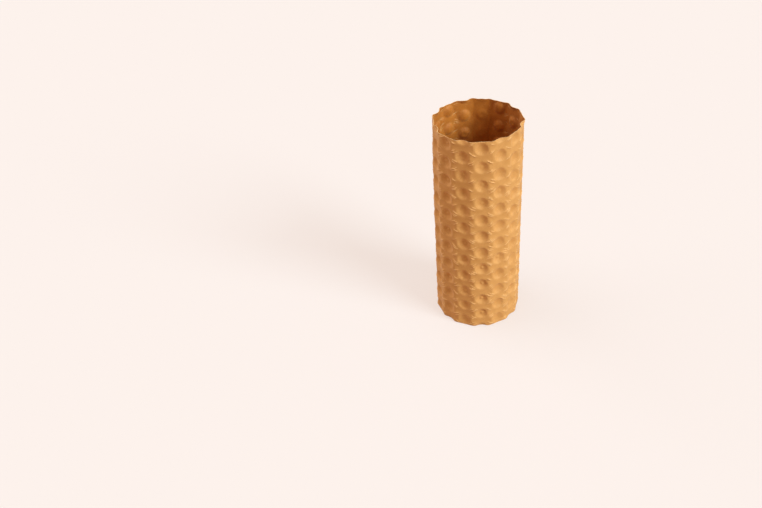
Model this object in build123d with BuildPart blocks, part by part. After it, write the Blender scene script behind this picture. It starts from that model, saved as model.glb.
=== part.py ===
# Paper bottle sleeve: one sheet of dimpled kraft paper, rolled into an open tube and glued along a lap.
# +Z runs up the sleeve, the origin is the middle of its lower edge, and the lap is at +Y.
import os
from math import atan2, ceil, degrees, pi, tan

from build123d import *

# Sheet: it bends between its columns, so that the tube has one flat for each column and one for the lap
column_count = 15
column_width = 13.85
sleeve_height = 167.0
paper_thickness = 0.3
bend_reach = 1.2

# Dimples: pressed inwards, in columns that are staggered by half a pitch
dimple_sides = 8
dimple_width = 9.9
floor_width = 4.4
dimple_depth = 1.6
dimple_pitch = 14.87
top_row_drop = 5.5

# Lap: the outer end of the sheet rises over the inner end and is glued down on it, pressed flat
lap_ramp = 1.0
lap_edge_setback = 0.6

# Sizes that follow
flat_width = column_width - 2 * bend_reach
column_turn = 360 / column_count
flat_radius = column_width / 2 / tan(pi / column_count)
row_count = ceil(sleeve_height / dimple_pitch) + 1

# The bump inside is wider than the hollow outside, so that the wall of a dimple is one paper thick
wall_slope = atan2(dimple_depth, (dimple_width - floor_width) / 2)
wall_taper = 90 - degrees(wall_slope)
bump_width = dimple_width + 2 * paper_thickness * tan(wall_slope / 2)


def dimple_places(sink):
    """Places of the dimples, facing inwards, sunk by a depth from the outside of the sheet."""
    places = []
    for column in range(1, column_count):
        flat = Rotation(0, 0, column * column_turn) * Plane.XZ.offset(sink - flat_radius).location
        top_row = sleeve_height - top_row_drop + (column % 2) * dimple_pitch / 2
        for row in range(row_count):
            places.append(flat * Pos(0, top_row - row * dimple_pitch, 0))
    return places


# Hollow of one dimple, from the outside of the sheet to its floor
with BuildPart() as hollow:
    with BuildSketch():
        RegularPolygon(dimple_width / 2, dimple_sides, major_radius=False, rotation=180 / dimple_sides)
    extrude(amount=dimple_depth, taper=wall_taper)

# Bump that the same dimple makes on the inside of the sheet
with BuildPart() as bump:
    with BuildSketch():
        RegularPolygon(bump_width / 2, dimple_sides, major_radius=False, rotation=180 / dimple_sides)
    extrude(amount=dimple_depth, taper=wall_taper)

# Sleeve: the rolled section, dimpled over more than its length and then cut to length
with BuildPart() as sleeve:
    with BuildSketch(Plane.XY.offset(-dimple_pitch)) as section:
        RegularPolygon(flat_radius, column_count, major_radius=False, rotation=90 + column_turn / 2)
        chamfer(section.vertices(), length=bend_reach)
        offset(amount=-paper_thickness, kind=Kind.INTERSECTION, mode=Mode.SUBTRACT)
        with BuildLine():
            ramp_foot = (flat_width / 2, flat_radius)
            ramp_top = (flat_width / 2 - lap_ramp, flat_radius + paper_thickness)
            edge_top = (lap_edge_setback - flat_width / 2, flat_radius + paper_thickness)
            edge_foot = (lap_edge_setback - flat_width / 2, flat_radius)
            Polyline(ramp_foot, ramp_top, edge_top, edge_foot, close=True)
        make_face()
    extrude(amount=sleeve_height + 2 * dimple_pitch)
    with Locations(*dimple_places(paper_thickness)):
        add(bump.part, clean=False)
    with Locations(*dimple_places(0)):
        add(hollow.part, mode=Mode.SUBTRACT, clean=False)
    with BuildSketch():
        Circle(flat_radius + column_width)
    extrude(amount=sleeve_height, mode=Mode.INTERSECT)

sleeve.part.label = "sleeve"
os.makedirs("parts", exist_ok=True)
export_step(sleeve.part, "parts/sleeve.step")
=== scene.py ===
from collections import namedtuple
from math import atan2, cos, pi, radians, sin, tan

import bpy
import numpy as np
from mathutils import Matrix, Vector, noise
from mathutils.geometry import delaunay_2d_cdt
from mathutils.kdtree import KDTree


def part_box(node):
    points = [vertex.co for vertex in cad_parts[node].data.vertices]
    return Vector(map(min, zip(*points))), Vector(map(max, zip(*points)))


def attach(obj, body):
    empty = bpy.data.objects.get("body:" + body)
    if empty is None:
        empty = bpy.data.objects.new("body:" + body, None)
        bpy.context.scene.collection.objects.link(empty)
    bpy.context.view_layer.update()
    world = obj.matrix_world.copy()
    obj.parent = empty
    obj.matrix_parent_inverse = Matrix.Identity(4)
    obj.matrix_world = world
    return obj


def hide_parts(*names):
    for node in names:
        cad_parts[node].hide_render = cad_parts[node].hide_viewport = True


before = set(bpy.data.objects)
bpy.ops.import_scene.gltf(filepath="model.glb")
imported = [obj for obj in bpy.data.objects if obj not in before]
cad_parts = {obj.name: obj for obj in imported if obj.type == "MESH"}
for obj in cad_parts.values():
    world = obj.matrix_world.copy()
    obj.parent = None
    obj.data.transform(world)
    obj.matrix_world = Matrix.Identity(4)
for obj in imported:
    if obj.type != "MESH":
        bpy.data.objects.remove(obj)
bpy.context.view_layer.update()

# Sleeve: one sheet of brown kraft paper, pressed with staggered columns of round dimples that point inwards.
# It is rolled into an open tube that bends between the columns, and its two ends are glued together in a
# lap at the back, which is pressed flat. Both ends of the tube are plain knife cuts.
sleeve_low, sleeve_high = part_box("sleeve")
sleeve_height = sleeve_high[2] - sleeve_low[2]
paper = 0.0003
columns = 15
column_width = 0.01385
column_turn = 2 * pi / columns
flat_radius = column_width / 2 / tan(pi / columns)
inset = 0.00025
bulge_height = 0.00024
rows = 13
row_pitch = 0.01487
top_row_drop = 0.0055
top_row = sleeve_height - top_row_drop
chance = np.random.default_rng(15)

Dimple = namedtuple("Dimple", "x z radius depth shape tall pit_x pit_z pit nub")
Crease = namedtuple("Crease", "x z lean half_length half_width height bow")


def row_height(column, row):
    """Height of a dimple's middle. Each column is staggered by half a row against the next."""
    return top_row + (column % 2) * row_pitch / 2 - row * row_pitch


# Dimples: bowls with steep walls. The press leaves a small pit at the bottom of some, and others pop back
# there in a nub with a groove round it. The lowest ones are flattened by handling
dimple_radius = 0.0049
dimple_depth = 0.00185
flattened_below = 0.028
flattened_share = 0.62
nubbed_share = 0.4
dimples = []
for column in range(1, columns):
    for row in range(rows):
        nubbed = chance.random() < nubbed_share
        x = column * column_width + chance.uniform(-0.00015, 0.00015)
        z = row_height(column, row) + chance.uniform(-0.0002, 0.0002)
        flattened = np.interp(z, (0, flattened_below), (flattened_share, 1))
        dimples.append(Dimple(
            x=x,
            z=z,
            radius=dimple_radius * chance.uniform(0.96, 1.04),
            depth=dimple_depth * chance.uniform(0.9, 1.1) * flattened,
            shape=chance.uniform(1.9, 2.4),
            tall=chance.uniform(1.0, 1.05),
            pit_x=chance.uniform(-0.0006, 0.0006),
            pit_z=chance.uniform(-0.0006, 0.0006),
            pit=0 if nubbed else chance.uniform(0, 0.0002),
            nub=chance.uniform(0.0002, 0.00055) if nubbed else 0,
        ))

# Crushed dimples: the lap is pressed flat on its glue, and its dimples stay as shallow rings in both layers
for row in range(rows):
    crushed = Dimple(
        x=0,
        z=row_height(columns, row),
        radius=0.0047,
        depth=chance.uniform(0.0003, 0.00055),
        shape=6,
        tall=1.03,
        pit_x=0,
        pit_z=0,
        pit=0,
        nub=chance.uniform(0, 0.00022),
    )
    dimples += [crushed, crushed._replace(x=columns * column_width)]

# Creases: where the press stretches the paper between two neighbouring dimples, it gathers into short sharp
# creases that run from one dimple towards the other, across the bend between their columns
crease_gap = 0.00135
creases = []
for column in range(1, columns - 1):
    for link in range(2 * rows):
        way = 1 if (column + link) % 2 else -1
        lean = way * atan2(row_pitch / 2, column_width)
        middle_x = (column + 0.5) * column_width
        middle_z = top_row + (0.5 - link) * row_pitch / 2
        count = chance.choice([1, 2, 3], p=[0.25, 0.45, 0.3])
        for number in range(count):
            beside = (number - (count - 1) / 2) * crease_gap + chance.uniform(-0.0002, 0.0002)
            slide = chance.uniform(-0.0011, 0.0011)
            creases.append(Crease(
                x=middle_x + slide * cos(lean) - beside * sin(lean),
                z=middle_z + slide * sin(lean) + beside * cos(lean),
                lean=lean + chance.uniform(-0.1, 0.1),
                half_length=chance.uniform(0.0021, 0.0039),
                half_width=chance.uniform(0.00026, 0.00036),
                height=chance.uniform(0.00024, 0.00046),
                bow=chance.uniform(-0.0004, 0.0004),
            ))

# Lap: the outer end of the sheet climbs a short ramp over the inner end, and its free edge lifts a little.
# The outer layer is cut slightly short at the top and at the bottom
lap_inner_end = -0.39 * column_width
lap_outer_end = (columns + 0.37) * column_width
lap_ramp_start = (columns - 0.413) * column_width
lap_ramp_middle = (columns - 0.377) * column_width
lap_ramp_end = (columns - 0.341) * column_width
lap_edge_foot = 0.37 * column_width
lap_edge_front = 0.4 * column_width
lap_edge_reach = 0.0012
lap_edge_lift = 0.0003
lap_short_top = 0.0004
lap_short_low = 0.0003
glue = 0.00002

# Wear: handling leaves one small lip and one shallow dent at the upper rim, and both ends wave a little
lip_middle = 11.45 * column_width
lip_half_width = 0.0028
lip_reach = 0.0022
lip_lift = 0.0006
dent_middle = 4.5 * column_width
dent_half_width = 0.01
dent_reach = 0.02
dent_depth = 0.0013
dent_rise = 0.0012
wave_reach = 0.006
cut_reach = 0.01


def rise(values, start, end):
    """0 before start, 1 after end, and a smooth climb between them."""
    t = np.clip((values - start) / (end - start), 0, 1)
    return t * t * (3 - 2 * t)


def uneven(places, height, lump, seed):
    """Soft unevenness of paper at places, in lumps of about a size, up to a height either way."""
    shift = Vector((seed * 7.3, seed * 3.1, seed * 5.7))
    return height * np.array([noise.noise(Vector(place / lump) + shift) for place in places])


def bulge(column, z):
    """How far the flat of a column stands out: it comes out at each dimple, and lies back between two."""
    if column % columns == 0:
        return 0 * z
    return bulge_height * np.cos(2 * pi * (z - top_row) / row_pitch + pi * (column % 2))


def tube_radius(turn, z):
    """Radius of the outside of the rolled sheet: a flat for each column, with a bend between flats that
    zigzags, because the flats bulge in turn."""
    bend_sharpness = 300
    pull = np.zeros_like(turn)
    for column in range(columns):
        facing = np.cos(turn - pi / 2 - column * column_turn) / (1 + bulge(column, z) / flat_radius)
        pull += np.clip(facing, 0, 2) ** bend_sharpness
    return flat_radius / pull ** (1 / bend_sharpness)


def pressed_depth(dimple, x, z):
    """Depth of a dimple at places measured from its middle."""
    pit_width = 0.0014
    nub_width = 0.001
    groove_radius = 0.0019
    groove_width = 0.0006
    shoulder = 0.00003 + 0.025 * dimple.depth
    reach = np.hypot(x, z / dimple.tall) / dimple.radius
    bowl = shoulder * np.logaddexp(0, dimple.depth * (1 - reach ** dimple.shape) / shoulder)
    from_pit = np.hypot(x - dimple.pit_x, z - dimple.pit_z)
    bowl += dimple.pit * np.exp(-(from_pit / pit_width) ** 2)
    bowl += 0.5 * dimple.nub * np.exp(-((from_pit - groove_radius) / groove_width) ** 2)
    bowl -= dimple.nub * np.exp(-(from_pit / nub_width) ** 2)
    return bowl


def rolled(flat, push):
    """Places of points of the flat sheet once it is pressed and rolled. push lifts a point off the sheet."""
    x, z = flat[:, 0], flat[:, 1]
    below_rim = z - sleeve_height
    turn = pi / 2 + x / column_width * column_turn
    round_place = np.stack([flat_radius * np.cos(turn), flat_radius * np.sin(turn), z], axis=-1)
    up_only = round_place * (0, 0, 1)
    round_only = round_place * (1, 1, 0)
    sink = np.zeros_like(x)
    for dimple in dimples:
        near = (abs(x - dimple.x) < column_width / 2) & (abs(z - dimple.z) < row_pitch / 2)
        sink[near] += pressed_depth(dimple, x[near] - dimple.x, z[near] - dimple.z)
    on_lap = rise(x, lap_ramp_start, lap_ramp_end)
    lap_edge = np.exp((x - lap_outer_end) / lap_edge_reach)
    lap_edge *= 0.6 + uneven(up_only, height=1, lump=0.012, seed=6)
    lip = np.exp(-((x - lip_middle) / lip_half_width) ** 2 + below_rim / lip_reach)
    dent = np.exp(-((x - dent_middle) / dent_half_width) ** 2 + below_rim / dent_reach)
    wave = np.exp(below_rim / wave_reach) + 0.5 * np.exp(-z / wave_reach)
    radius = tube_radius(turn, z) - sink + push - inset
    radius += (paper + glue) * on_lap + lap_edge_lift * lap_edge
    radius += lip_lift * lip - dent_depth * dent
    radius += uneven(round_place, height=0.00014, lump=0.022, seed=1)
    radius += uneven(round_place, height=0.00005, lump=0.006, seed=2)
    radius += wave * uneven(round_place, height=0.0005, lump=0.01, seed=3)
    top_cut = uneven(round_only, height=0.0005, lump=0.02, seed=4)
    top_cut += uneven(round_only, height=0.0004, lump=0.004, seed=7)
    low_cut = 0.00025 + uneven(round_only, height=0.00025, lump=0.018, seed=5)
    lift = np.exp(below_rim / cut_reach) * (top_cut - lap_short_top * on_lap)
    lift += np.exp(-z / cut_reach) * (low_cut + lap_short_low * on_lap)
    lift += dent_rise * dent
    return np.stack([radius * np.cos(turn), radius * np.sin(turn), z + lift], axis=-1)


def line_of(start, end, gap):
    """Points from start up to but not at end, about a gap apart."""
    count = max(1, round(np.hypot(*np.subtract(end, start)) / gap))
    return [tuple(np.add(start, np.subtract(end, start) * step / count)) for step in range(count)]


# Mesh of the flat sheet: points along its cut edges, then along the creases, round the dimples, along the
# bends and the lap, and evenly between
round_cut_gap = 0.00075
upright_cut_gap = 0.0012
line_margin = 0.0006
ring_margin = 0.0003
ring_room = 0.00025
bend_half_width = 0.00045
bend_gap = 0.0011
lap_line_gap = 0.0015
line_room = 0.0004
ridge_end_height = 0.00001
weld_gap = 1e-7
corners = [
    (lap_inner_end, 0),
    (lap_outer_end, 0),
    (lap_outer_end, sleeve_height),
    (lap_inner_end, sleeve_height),
]
cut_line = []
for start, end in zip(corners, corners[1:] + corners[:1]):
    cut_line += line_of(start, end, round_cut_gap if start[1] == end[1] else upright_cut_gap)


def inside_cut(x, z, margin):
    """True for a place on the flat sheet that is a margin away from its cut edges."""
    return lap_inner_end + margin < x < lap_outer_end - margin and margin < z < sleeve_height - margin


def with_room(places, taken, margin, room):
    """Those places that are a margin away from the cut edges, and have room between them and places taken."""
    tree = KDTree(len(taken))
    for number, (x, z) in enumerate(taken):
        tree.insert((x, z, 0), number)
    tree.balance()
    return [place for place in places if inside_cut(*place, margin) and tree.find((*place, 0))[2] > room]


def crease_ridges(stations):
    """Places of a ridge with two feet for each crease, how far each is lifted, and pairs along the ridges.
    The numbers in the pairs start after the cut line."""
    places = []
    lifts = []
    ridges = []
    for crease in creases:
        ahead = np.array((cos(crease.lean), sin(crease.lean)))
        aside = np.array((-ahead[1], ahead[0]))
        ridge = []
        for station in np.linspace(-1, 1, stations):
            curve = crease.bow * (1 - station ** 2)
            place = np.array((crease.x, crease.z)) + ahead * station * crease.half_length + aside * curve
            if not inside_cut(*place, line_margin):
                continue
            ridge.append(len(cut_line) + len(places))
            places.append(tuple(place))
            lifts.append(crease.height * (1 - abs(station) ** 3) + ridge_end_height)
            if abs(station) < 1:
                for side in (-1, 1):
                    places.append(tuple(place + aside * side * crease.half_width))
                    lifts.append(0.0)
        ridges += list(zip(ridge, ridge[1:]))
    return places, lifts, ridges


def dimple_rings(rings):
    """Places on rings round each dimple. A ring is its share of the radius and its number of points."""
    places = []
    for dimple in dimples:
        for number, (share, count) in enumerate(rings):
            for step in range(count):
                angle = 2 * pi * (step + number % 2 / 2) / count
                x = dimple.x + dimple.radius * share * cos(angle)
                z = dimple.z + dimple.radius * share * sin(angle) * dimple.tall
                places.append((x, z))
    return places


def bend_lines():
    """Places on three lines along each zigzag bend, and on lines along the lap's ramp and its free edge."""
    top = sleeve_height - line_margin
    places = []
    for column in range(columns + 1):
        for off in (0, -bend_half_width, bend_half_width):
            middle = (column + 0.5) * column_width + off
            for x, z in line_of((middle, line_margin), (middle, top), bend_gap):
                zigzag = (bulge(column + 1, z) - bulge(column, z)) / 2 / sin(column_turn / 2)
                places.append((x + zigzag, z))
    for x in (lap_ramp_start, lap_ramp_middle, lap_ramp_end, lap_edge_foot, lap_edge_front):
        places += line_of((x, line_margin), (x, top), lap_line_gap)
    return places


def even_spread(gap):
    """Places a gap apart over the whole sheet, in ranks that are staggered by half a gap."""
    triangle_height = 0.866
    rank_gap = gap * triangle_height
    places = []
    for rank in range(int(sleeve_height / rank_gap)):
        x = lap_inner_end + (rank % 2) * gap / 2
        z = rank * rank_gap
        places += line_of((x, z), (x + lap_outer_end - lap_inner_end, z), gap)
    return places


def pressed_sheet(rings, land_gap, crease_stations):
    """Triangles of the sheet laid flat. Gives flat places, lifts, triangles, the cut line and the ridges."""
    ridge_places, lifts, ridges = crease_ridges(crease_stations)
    flat = cut_line + ridge_places
    push = [0.0] * len(cut_line) + lifts
    flat += with_room(dimple_rings(rings), flat, ring_margin, ring_room)
    flat += with_room(bend_lines(), flat, line_room, line_room)
    land_room = 0.62 * land_gap
    flat += with_room(even_spread(land_gap), flat, land_gap / 2, land_room)
    push += [0.0] * (len(flat) - len(push))
    places, edges, triangles, place_sources, edge_sources, _ = delaunay_2d_cdt(
        [Vector(place) for place in flat], ridges, [], 0, weld_gap,
    )
    flat_found = np.array([tuple(place) for place in places])
    push_found = np.array([max((push[old] for old in olds), default=0.0) for olds in place_sources])
    new_of = {old: new for new, olds in enumerate(place_sources) for old in olds}
    cut_found = np.array([new_of[old] for old in range(len(cut_line))])
    ridges_found = np.array([edge for edge, olds in zip(edges, edge_sources) if olds])
    return flat_found, push_found, np.array(triangles), cut_found, ridges_found


# Outside of the sheet, and its inside, which is laid with fewer points and set one paper thickness behind
outer_rings = (
    (0, 1), (0.14, 7), (0.27, 12), (0.41, 16), (0.56, 20),
    (0.7, 24), (0.84, 26), (0.945, 30), (1.0, 30), (1.055, 30),
)
inner_rings = ((0, 1), (0.22, 8), (0.42, 12), (0.62, 16), (0.82, 20), (1.0, 22), (1.14, 22))
flat, push, outer_faces, outer_cut, ridges = pressed_sheet(outer_rings, land_gap=0.00125, crease_stations=5)
outer_points = rolled(flat, push)
sheet_inside = pressed_sheet(inner_rings, land_gap=0.0021, crease_stations=3)
flat_inside, push_inside, inner_faces, inner_cut, _ = sheet_inside
inner_points = rolled(flat_inside, 0 * push_inside)
spans = inner_points[inner_faces]
facing = np.cross(spans[:, 1] - spans[:, 0], spans[:, 2] - spans[:, 0])
normals = np.zeros_like(inner_points)
for corner in range(3):
    np.add.at(normals, inner_faces[:, corner], facing)
normals /= np.linalg.norm(normals, axis=1, keepdims=True)
shown_inside = 0.6
inner_points += normals * (shown_inside * push_inside - paper)[:, None]

# One closed mesh: the outside, the inside and the cut edge between them, with sharp folds at creases and cuts
count = len(outer_points)
outer_next = np.roll(outer_cut, -1)
inner_next = np.roll(inner_cut, -1)
edge_faces = np.stack([outer_next, outer_cut, inner_cut + count, inner_next + count], axis=-1)
faces = outer_faces.tolist() + (inner_faces[:, ::-1] + count).tolist() + edge_faces.tolist()
sheet = bpy.data.meshes.new("sleeve_paper")
sheet.from_pydata(np.concatenate([outer_points, inner_points]).tolist(), [], faces)
unrolled_places = (np.concatenate([flat, flat_inside]) - (0, top_row)) / (column_width, row_pitch)
corner_points = np.zeros(len(sheet.loops), dtype=np.int32)
sheet.loops.foreach_get("vertex_index", corner_points)
sheet.uv_layers.new(name="unrolled").data.foreach_set("uv", unrolled_places[corner_points].ravel())
# Crease shares mark the points on crease ridges, where the paper's colour is painted paler: a painted
# highlight of ridges catching the light
full_crease = 0.0002
crease_highlight_shares = np.clip(np.concatenate([push, push_inside]) / full_crease, 0, 1.2)
sheet.attributes.new("crease", "FLOAT", "POINT").data.foreach_set("value", crease_highlight_shares)
sides = [0] * len(outer_faces) + [1] * len(inner_faces) + [2] * len(edge_faces)
sheet.polygons.foreach_set("material_index", sides)
sheet.polygons.foreach_set("use_smooth", [side < 2 for side in sides])
folds = np.concatenate([
    ridges,
    np.stack([outer_cut, outer_next], axis=-1),
    np.stack([inner_cut, inner_next], axis=-1) + count,
])
folds = set(map(tuple, np.sort(folds, axis=1).tolist()))
edge_ends = np.zeros(2 * len(sheet.edges), dtype=np.int32)
sheet.edges.foreach_get("vertices", edge_ends)
edge_ends = np.sort(edge_ends.reshape(-1, 2), axis=1).tolist()
sharp = [tuple(pair) in folds for pair in edge_ends]
sheet.attributes.new("sharp_edge", "BOOLEAN", "EDGE").data.foreach_set("value", sharp)
sleeve = bpy.data.objects.new("sleeve_paper", sheet)
bpy.context.scene.collection.objects.link(sleeve)


def node(tree, kind, inputs, **settings):
    """Adds a node with its settings, and links or fills its inputs."""
    made = tree.nodes.new(kind)
    for name, value in settings.items():
        setattr(made, name, value)
    for socket, value in inputs.items():
        if isinstance(value, bpy.types.NodeSocket):
            tree.links.new(value, made.inputs[socket])
        else:
            made.inputs[socket].default_value = value
    return made


def sums(tree, operation, *values):
    """Output of a Math node."""
    return node(tree, "ShaderNodeMath", dict(enumerate(values)), operation=operation).outputs[0]


def ramp_between(tree, value, start, end, low=0.0, high=1.0):
    """Output of a Map Range node with a smooth climb."""
    inputs = {"Value": value, "From Min": start, "From Max": end, "To Min": low, "To Max": high}
    return node(tree, "ShaderNodeMapRange", inputs, interpolation_type="SMOOTHSTEP").outputs["Result"]


def mottle(tree, place, scale, detail, roughness=0.5, distortion=0.0):
    """Output of a Noise Texture node."""
    inputs = {
        "Vector": place, "Scale": scale, "Detail": detail,
        "Roughness": roughness, "Distortion": distortion,
    }
    return node(tree, "ShaderNodeTexNoise", inputs).outputs["Fac"]


def blend_colours(tree, amount, first, second):
    """Output of a Mix node for colours."""
    inputs = {0: amount, 6: first, 7: second}
    return node(tree, "ShaderNodeMix", inputs, data_type="RGBA").outputs[2]


def effect(name, outputs):
    """An empty node group that takes a place on the flat sheet, with float outputs."""
    group = bpy.data.node_groups.new(name, "ShaderNodeTree")
    group.interface.new_socket("Place", in_out="INPUT", socket_type="NodeSocketVector")
    for output in outputs:
        group.interface.new_socket(output, in_out="OUTPUT", socket_type="NodeSocketFloat")
    place = group.nodes.new("NodeGroupInput").outputs["Place"]
    return group, place, group.nodes.new("NodeGroupOutput")


# Kraft fibre: cloudy patches where the pulp lies thicker, short fibres that lie every way, a few specks of
# bark, and a fine tooth
fibre, place, given = effect("kraft_fibre", ["Cloud", "Pale fibre", "Dark fibre", "Speck", "Tooth"])
millimetres = node(
    fibre, "ShaderNodeVectorMath",
    {0: place, 1: (column_width * 1000, row_pitch * 1000, 1)}, operation="MULTIPLY",
).outputs[0]
patches = mottle(fibre, millimetres, scale=0.11, detail=6.0, roughness=0.62)
flecks = mottle(fibre, millimetres, scale=0.8, detail=4.0, roughness=0.65)
cloud = sums(fibre, "MULTIPLY_ADD", patches, 0.75, sums(fibre, "MULTIPLY", flecks, 0.25))
fibre.links.new(ramp_between(fibre, cloud, 0.36, 0.64), given.inputs["Cloud"])
strands = []
for lay, seed in ((20, 3.0), (75, 11.0), (130, 19.0), (165, 27.0)):
    turned = node(fibre, "ShaderNodeMapping", {
        "Vector": millimetres,
        "Location": (seed, seed, seed),
        "Rotation": (0, 0, radians(lay)),
        "Scale": (0.5, 6.5, 1),
    }).outputs[0]
    strands.append(mottle(fibre, turned, scale=1.0, detail=1.5, distortion=0.35))
pale = sums(fibre, "MAXIMUM", strands[0], strands[1])
dark = sums(fibre, "MAXIMUM", strands[2], strands[3])
fibre.links.new(ramp_between(fibre, pale, 0.62, 0.76), given.inputs["Pale fibre"])
fibre.links.new(ramp_between(fibre, dark, 0.62, 0.78), given.inputs["Dark fibre"])
bark = node(fibre, "ShaderNodeTexVoronoi", {"Vector": millimetres, "Scale": 0.32})
bark_chance = node(fibre, "ShaderNodeSeparateColor", {"Color": bark.outputs["Color"]}).outputs[0]
bark_size = sums(fibre, "MULTIPLY", bark_chance, 0.09)
past_speck = sums(fibre, "SUBTRACT", bark.outputs["Distance"], bark_size)
fibre.links.new(ramp_between(fibre, past_speck, -0.03, 0.01, 1.0, 0.0), given.inputs["Speck"])
grain = mottle(fibre, millimetres, scale=4.5, detail=3.0, roughness=0.6)
tooth = sums(fibre, "MULTIPLY_ADD", pale, 0.5, sums(fibre, "MULTIPLY", grain, 0.5))
fibre.links.new(tooth, given.inputs["Tooth"])

# Press pleats: fine folds that run down the wall of each dimple where the press gathers the paper. The lap,
# which is pressed flat, has none
pleats, place, given = effect("press_pleats", ["Pleat"])
parts = node(pleats, "ShaderNodeSeparateXYZ", {"Vector": place})
column = sums(pleats, "ROUND", parts.outputs["X"])
side = sums(pleats, "MULTIPLY", sums(pleats, "SUBTRACT", parts.outputs["X"], column), column_width * 1000)
stagger = sums(pleats, "MULTIPLY", sums(pleats, "PINGPONG", column, 1.0), 0.5)
row_place = sums(pleats, "SUBTRACT", parts.outputs["Y"], stagger)
row = sums(pleats, "ROUND", row_place)
rise_mm = sums(pleats, "MULTIPLY", sums(pleats, "SUBTRACT", row_place, row), row_pitch * 1000)
from_middle = node(pleats, "ShaderNodeCombineXYZ", {"X": side, "Y": rise_mm, "Z": 0.0}).outputs[0]
reach = node(pleats, "ShaderNodeVectorMath", {0: from_middle}, operation="LENGTH").outputs["Value"]
way = node(pleats, "ShaderNodeVectorMath", {0: from_middle}, operation="NORMALIZE").outputs[0]
own = sums(pleats, "MULTIPLY_ADD", row, 3.3, sums(pleats, "MULTIPLY", reach, 0.09))
own = sums(pleats, "MULTIPLY_ADD", column, 7.7, own)
own = node(pleats, "ShaderNodeCombineXYZ", {"X": 0.0, "Y": 0.0, "Z": own}).outputs[0]
around = node(pleats, "ShaderNodeVectorMath", {0: way, 1: own}, operation="ADD").outputs[0]
folded = mottle(pleats, around, scale=2.6, detail=2.0, roughness=0.55)
fold = sums(pleats, "ABSOLUTE", sums(pleats, "MULTIPLY_ADD", folded, 2.0, -1.0))
pleat = ramp_between(pleats, fold, 0.0, 0.35, 1.0, 0.0)
for shown in (
    ramp_between(pleats, reach, 2.4, 3.8),
    ramp_between(pleats, reach, 4.6, 6.4, 1.0, 0.0),
    ramp_between(pleats, column, 0.2, 0.8),
    ramp_between(pleats, column, columns - 0.8, columns - 0.2, 1.0, 0.0),
):
    pleat = sums(pleats, "MULTIPLY", pleat, shown)
pleats.links.new(pleat, given.inputs["Pleat"])


def kraft_paper(name, deep, light, crease_highlight_tone, pleat_lift):
    """Kraft paper with cloudy deep and light tones. Its creases and pleats are painted paler, a painted
    highlight where their folds catch the light, and its pleats lift or sink.
    """
    material = bpy.data.materials.new(name)
    material.use_nodes = True
    tree = material.node_tree
    place = node(tree, "ShaderNodeUVMap", {}, uv_map="unrolled").outputs["UV"]
    pulp = node(tree, "ShaderNodeGroup", {"Place": place}, node_tree=fibre)
    gathered = node(tree, "ShaderNodeGroup", {"Place": place}, node_tree=pleats)
    ridge = node(tree, "ShaderNodeAttribute", {}, attribute_name="crease").outputs["Fac"]
    colour = blend_colours(tree, pulp.outputs["Cloud"], deep, light)
    # Fibres and bark specks are the paper's own colour. Pleats and crease ridges are painted paler, a painted
    # highlight where their folds catch the light
    for mask, share, tone in (
        (pulp.outputs["Pale fibre"], 0.26, (0.88, 0.58, 0.27, 1)),
        (pulp.outputs["Dark fibre"], 0.28, (0.27, 0.11, 0.03, 1)),
        (pulp.outputs["Speck"], 0.55, (0.14, 0.06, 0.02, 1)),
        (gathered.outputs["Pleat"], 0.08, crease_highlight_tone),
        (ridge, 0.48, crease_highlight_tone),
    ):
        colour = blend_colours(tree, sums(tree, "MULTIPLY", mask, share), colour, tone)
    rough = sums(tree, "MULTIPLY_ADD", pulp.outputs["Cloud"], -0.1, 0.68)
    height = sums(tree, "MULTIPLY", pulp.outputs["Tooth"], 0.03)
    height = sums(tree, "MULTIPLY_ADD", gathered.outputs["Pleat"], pleat_lift, height)
    bump = node(tree, "ShaderNodeBump", {"Strength": 1.0, "Distance": 0.001, "Height": height})
    shader = tree.nodes["Principled BSDF"]
    tree.links.new(colour, shader.inputs["Base Color"])
    tree.links.new(rough, shader.inputs["Roughness"])
    tree.links.new(bump.outputs["Normal"], shader.inputs["Normal"])
    shader.inputs["Specular IOR Level"].default_value = 0.3
    shader.inputs["Sheen Weight"].default_value = 0.12
    shader.inputs["Sheen Roughness"].default_value = 0.4
    shader.inputs["Sheen Tint"].default_value = (1.0, 0.85, 0.72, 1)
    return material


# The inside's tones are darker and redder than the outside's. This is painted shade for the tube's inside,
# which gets less light, with a painted redder glow of light bounced round inside it
for name, deep, light, crease_highlight_tone, pleat_lift in (
    ("kraft_outside", (0.615, 0.284, 0.078, 1), (0.68, 0.326, 0.097, 1), (1.0, 0.6, 0.26, 1), 0.04),
    ("kraft_inside_painted_shade", (0.44, 0.132, 0.012, 1), (0.53, 0.172, 0.019, 1), (0.85, 0.5, 0.2, 1), -0.04),
    ("kraft_cut_edge", (0.68, 0.4, 0.16, 1), (0.84, 0.54, 0.26, 1), (0.84, 0.54, 0.26, 1), 0.0),
):
    sheet.materials.append(kraft_paper(name, deep, light, crease_highlight_tone, pleat_lift))
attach(sleeve, "root")
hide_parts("sleeve")

# Floor: a wide sheet of pale studio paper that the sleeve stands on. It sends warm light back up at the
# sleeve, and shows as pale as the room behind it, with the sleeve's shadow on it.
floor_reach = 4
floor_bounce = (0.43, 0.265, 0.15, 1)
floor_shown = (0.268, 0.257, 0.264, 1)
floor_glow = 0.64
floor_glow_tone = (1.0, 0.87, 0.79, 1)


def seen_mask(tree):
    """1 where the surface itself is seen, straight on or in gloss or glass, and 0 for the light it sends."""
    path = node(tree, "ShaderNodeLightPath", {})
    seen = sums(tree, "MAXIMUM", path.outputs["Is Camera Ray"], path.outputs["Is Glossy Ray"])
    return sums(tree, "MAXIMUM", seen, path.outputs["Is Transmission Ray"])


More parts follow.
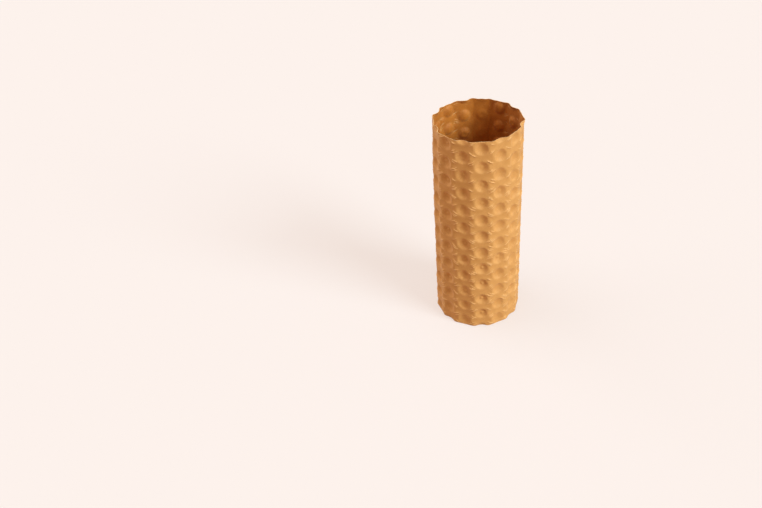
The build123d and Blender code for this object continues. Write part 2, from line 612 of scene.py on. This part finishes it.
floor_corners = [(x * floor_reach, y * floor_reach, 0) for x, y in ((-1, -1), (1, -1), (1, 1), (-1, 1))]
floor_mesh = bpy.data.meshes.new("studio_floor")
floor_mesh.from_pydata(floor_corners, [], [(0, 1, 2, 3)])
floor = bpy.data.objects.new("studio_floor", floor_mesh)
bpy.context.scene.collection.objects.link(floor)
floor_paper = bpy.data.materials.new("studio_paper")
floor_paper.use_nodes = True
floor_tree = floor_paper.node_tree
floor_shader = floor_tree.nodes["Principled BSDF"]
seen = seen_mask(floor_tree)
floor_tone = blend_colours(floor_tree, seen, floor_bounce, floor_shown)
floor_tree.links.new(floor_tone, floor_shader.inputs["Base Color"])
floor_tree.links.new(sums(floor_tree, "MULTIPLY", seen, floor_glow), floor_shader.inputs["Emission Strength"])
floor_shader.inputs["Emission Color"].default_value = floor_glow_tone
floor_shader.inputs["Roughness"].default_value = 1.0
floor_shader.inputs["Specular IOR Level"].default_value = 0.0
floor_mesh.materials.append(floor_paper)

# Light: a soft source on the right, in front of the sleeve, with weaker ones overhead and on the left.
# A pale room stands all round, which lights the sleeve less than it shows.
for name, energy, width, tone, shine in (
    ("soft_box", 3.55, 30, (0.775, 0.95, 1.0), (-0.788, 0.359, -0.5)),
    ("top_fill", 1.2, 45, (0.85, 0.85, 0.83), (0.15, 0.02, -0.99)),
    ("side_fill", 1.2, 60, (0.85, 0.88, 0.9), (0.856, -0.128, -0.5)),
):
    lamp = bpy.data.lights.new(name, "SUN")
    lamp.energy = energy
    lamp.angle = radians(width)
    lamp.color = tone
    lamp_place = bpy.data.objects.new(name, lamp)
    lamp_place.rotation_euler = Vector(shine).to_track_quat("-Z", "Y").to_euler()
    bpy.context.scene.collection.objects.link(lamp_place)

room_light = (0.36, 0.262, 0.21, 1)
room_shown = (0.982, 0.89, 0.84, 1)
world = bpy.data.worlds.new("pale_room")
world.use_nodes = True
bpy.context.scene.world = world
room_tree = world.node_tree
room_tone = blend_colours(room_tree, seen_mask(room_tree), room_light, room_shown)
room_tree.links.new(room_tone, room_tree.nodes["Background"].inputs["Color"])

# Camera: in front of the sleeve and well above it, looking down. It is turned so that the sleeve stands in
# the right half of the picture, and leans a little to one side.
camera_data = bpy.data.cameras.new("camera")
camera_data.sensor_width = 36
camera_data.lens = 39.22
camera = bpy.data.objects.new("camera", camera_data)
turned_left = Matrix.Rotation(radians(14.8), 4, "Z")
looking_down = Matrix.Rotation(pi / 2 - 0.6456, 4, "X")
leaning = Matrix.Rotation(-0.0893, 4, "Z")
camera.matrix_world = Matrix.Translation((0.0598, -0.525, 0.4497)) @ (turned_left @ looking_down @ leaning)
bpy.context.scene.collection.objects.link(camera)
bpy.context.scene.camera = camera
bpy.context.scene.view_settings.view_transform = "Standard"
